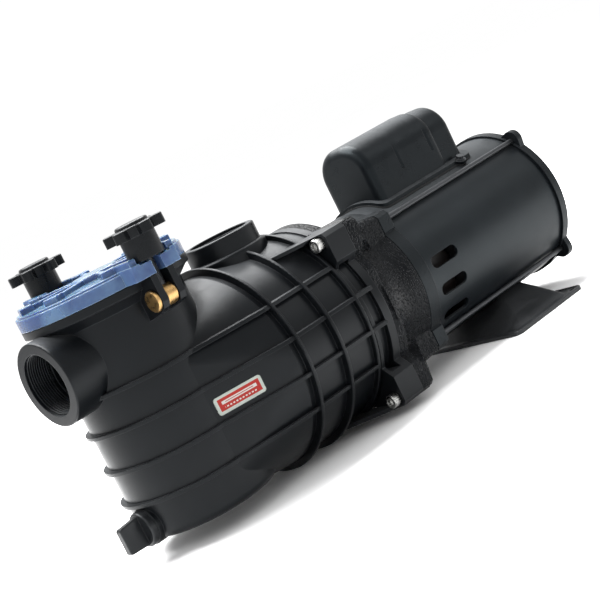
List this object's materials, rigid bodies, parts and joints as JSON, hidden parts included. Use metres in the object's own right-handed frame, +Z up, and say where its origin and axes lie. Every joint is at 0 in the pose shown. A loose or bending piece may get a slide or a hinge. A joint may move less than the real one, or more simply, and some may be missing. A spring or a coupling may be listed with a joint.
{
  "type": "pool pump",
  "caption": "Self-priming pool pump: strainer pot with a clear lid held by swing bolts and star knobs, ribbed volute, cast bracket, electric motor with capacitor cover and foot.",
  "frame": {"origin": "middle of the pump's footprint, on the floor it stands on", "axes": "+X from the suction port to the motor, +Z up, Y = 0 is the middle plane"},
  "size_m": [0.594, 0.2194, 0.268],
  "materials": {
    "housing_plastic": "semi-gloss moulded",
    "lid_plastic": "clear tinted, glossy",
    "seal_rubber": "matt",
    "basket_plastic": "moulded",
    "bolt_brass": "turned, dulled",
    "fastener_steel": "plated",
    "knob_plastic": "semi-gloss moulded",
    "plug_plastic": "semi-gloss moulded",
    "label_film": "printed film",
    "diffuser_plastic": "moulded",
    "impeller_plastic": "moulded",
    "nut_brass": "turned",
    "seal_carbon": "lapped carbon",
    "seal_ceramic": "lapped",
    "bracket_iron": "rough cast, painted black",
    "shield_paint": "satin black",
    "shell_paint": "satin black",
    "rod_steel": "blackened",
    "bearing_steel": "ground",
    "shaft_steel": "ground",
    "core_steel": "laminated",
    "winding_copper": "enamelled",
    "fan_plastic": "moulded",
    "cover_paint": "satin black",
    "capacitor_can": "drawn can",
    "board_plastic": "pressed board",
    "foot_paint": "satin black"
  },
  "bodies": {
    "pump": {"strainer_pot": "housing_plastic", "volute_casing": "housing_plastic", "lid_seal": "seal_rubber", "near_pivot_pin": "bolt_brass", "far_pivot_pin": "bolt_brass", "drain_seal": "seal_rubber", "label_plate": "label_film", "diffuser": "diffuser_plastic", "seal_fixed_seat": "seal_ceramic", "seal_plate": "diffuser_plastic", "housing_seal": "seal_rubber", "motor_bracket": "bracket_iron", "flange_screws": "fastener_steel", "front_shield": "shield_paint", "motor_shell": "shell_paint", "rear_end_cap": "shield_paint", "tie_rods": "rod_steel", "front_bearing_outer": "bearing_steel", "rear_bearing_outer": "bearing_steel", "stator_core": "core_steel", "stator_windings": "winding_copper", "capacitor_cover": "cover_paint", "cover_gasket": "seal_rubber", "cover_screws": "rod_steel", "cover_base": "fan_plastic", "capacitor": "capacitor_can", "capacitor_strap": "fastener_steel", "terminal_board": "board_plastic", "cable_grommet": "seal_rubber", "motor_foot": "foot_paint", "foot_screws": "fastener_steel"},
    "rotating_group": {"shaft": "shaft_steel", "impeller": "impeller_plastic", "impeller_nut": "nut_brass", "seal_spring": "fastener_steel", "seal_rotating_ring": "seal_carbon", "water_slinger": "seal_rubber", "front_bearing_inner": "bearing_steel", "rear_bearing_inner": "bearing_steel", "rotor": "core_steel", "cooling_fan": "fan_plastic"},
    "front_ball_cage": {"front_bearing_balls": "bearing_steel"},
    "rear_ball_cage": {"rear_bearing_balls": "bearing_steel"},
    "lid": {"lid": "lid_plastic"},
    "basket": {"strainer_basket": "basket_plastic"},
    "drain_plug": {"drain_plug": "plug_plastic"},
    "near_bolt": {"near_swing_bolt": "bolt_brass"},
    "near_washer": {"near_knob_washer": "fastener_steel"},
    "near_knob": {"near_knob": "knob_plastic"},
    "far_bolt": {"far_swing_bolt": "bolt_brass"},
    "far_washer": {"far_knob_washer": "fastener_steel"},
    "far_knob": {"far_knob": "knob_plastic"}
  },
  "joints": [
    {"name": "shaft_spin", "type": "hinge", "parent": "pump", "child": "rotating_group", "pos_m": [0, 0, 0.095], "axis": [1, 0, 0], "continuous": true},
    {"name": "front_ball_roll", "type": "hinge", "parent": "pump", "child": "front_ball_cage", "pos_m": [0.068, 0, 0.095], "axis": [1, 0, 0], "continuous": true},
    {"name": "rear_ball_roll", "type": "hinge", "parent": "pump", "child": "rear_ball_cage", "pos_m": [0.277, 0, 0.095], "axis": [1, 0, 0], "continuous": true},
    {"name": "lid_lift", "type": "slide", "parent": "pump", "child": "lid", "axis": [0, 0, 1], "range_m": [0, 0.24]},
    {"name": "basket_lift", "type": "slide", "parent": "pump", "child": "basket", "axis": [0, 0, 1], "range_m": [0, 0.21]},
    {"name": "drain_plug_turn", "type": "hinge", "parent": "pump", "child": "drain_plug", "pos_m": [-0.278, 0, 0.033], "axis": [1, 0, 0], "continuous": true},
    {"name": "near_bolt_swing", "type": "hinge", "parent": "pump", "child": "near_bolt", "pos_m": [-0.203, -0.0836, 0.203], "axis": [1, 0, 0], "range_deg": [0, 95]},
    {"name": "near_knob_rise", "type": "slide", "parent": "near_bolt", "child": "near_washer", "axis": [0, 0, 1], "range_m": [0, 0.24]},
    {"name": "near_knob_turn", "type": "hinge", "parent": "near_washer", "child": "near_knob", "pos_m": [-0.203, -0.0836, 0.256], "axis": [0, 0, 1], "continuous": true},
    {"name": "far_bolt_swing", "type": "hinge", "parent": "pump", "child": "far_bolt", "pos_m": [-0.203, 0.0836, 0.203], "axis": [-1, 0, 0], "range_deg": [0, 95]},
    {"name": "far_knob_rise", "type": "slide", "parent": "far_bolt", "child": "far_washer", "axis": [0, 0, 1], "range_m": [0, 0.24]},
    {"name": "far_knob_turn", "type": "hinge", "parent": "far_washer", "child": "far_knob", "pos_m": [-0.203, 0.0836, 0.256], "axis": [0, 0, 1], "continuous": true}
  ],
  "couplings": [
    {"joint": "front_ball_roll", "follows": "shaft_spin", "ratio": 0.3831},
    {"joint": "rear_ball_roll", "follows": "shaft_spin", "ratio": 0.3831},
    {"joint": "basket_lift", "follows": "lid_lift", "ratio": 0.85},
    {"joint": "near_knob_rise", "follows": "lid_lift", "ratio": 1},
    {"joint": "far_knob_rise", "follows": "lid_lift", "ratio": 1}
  ]
}
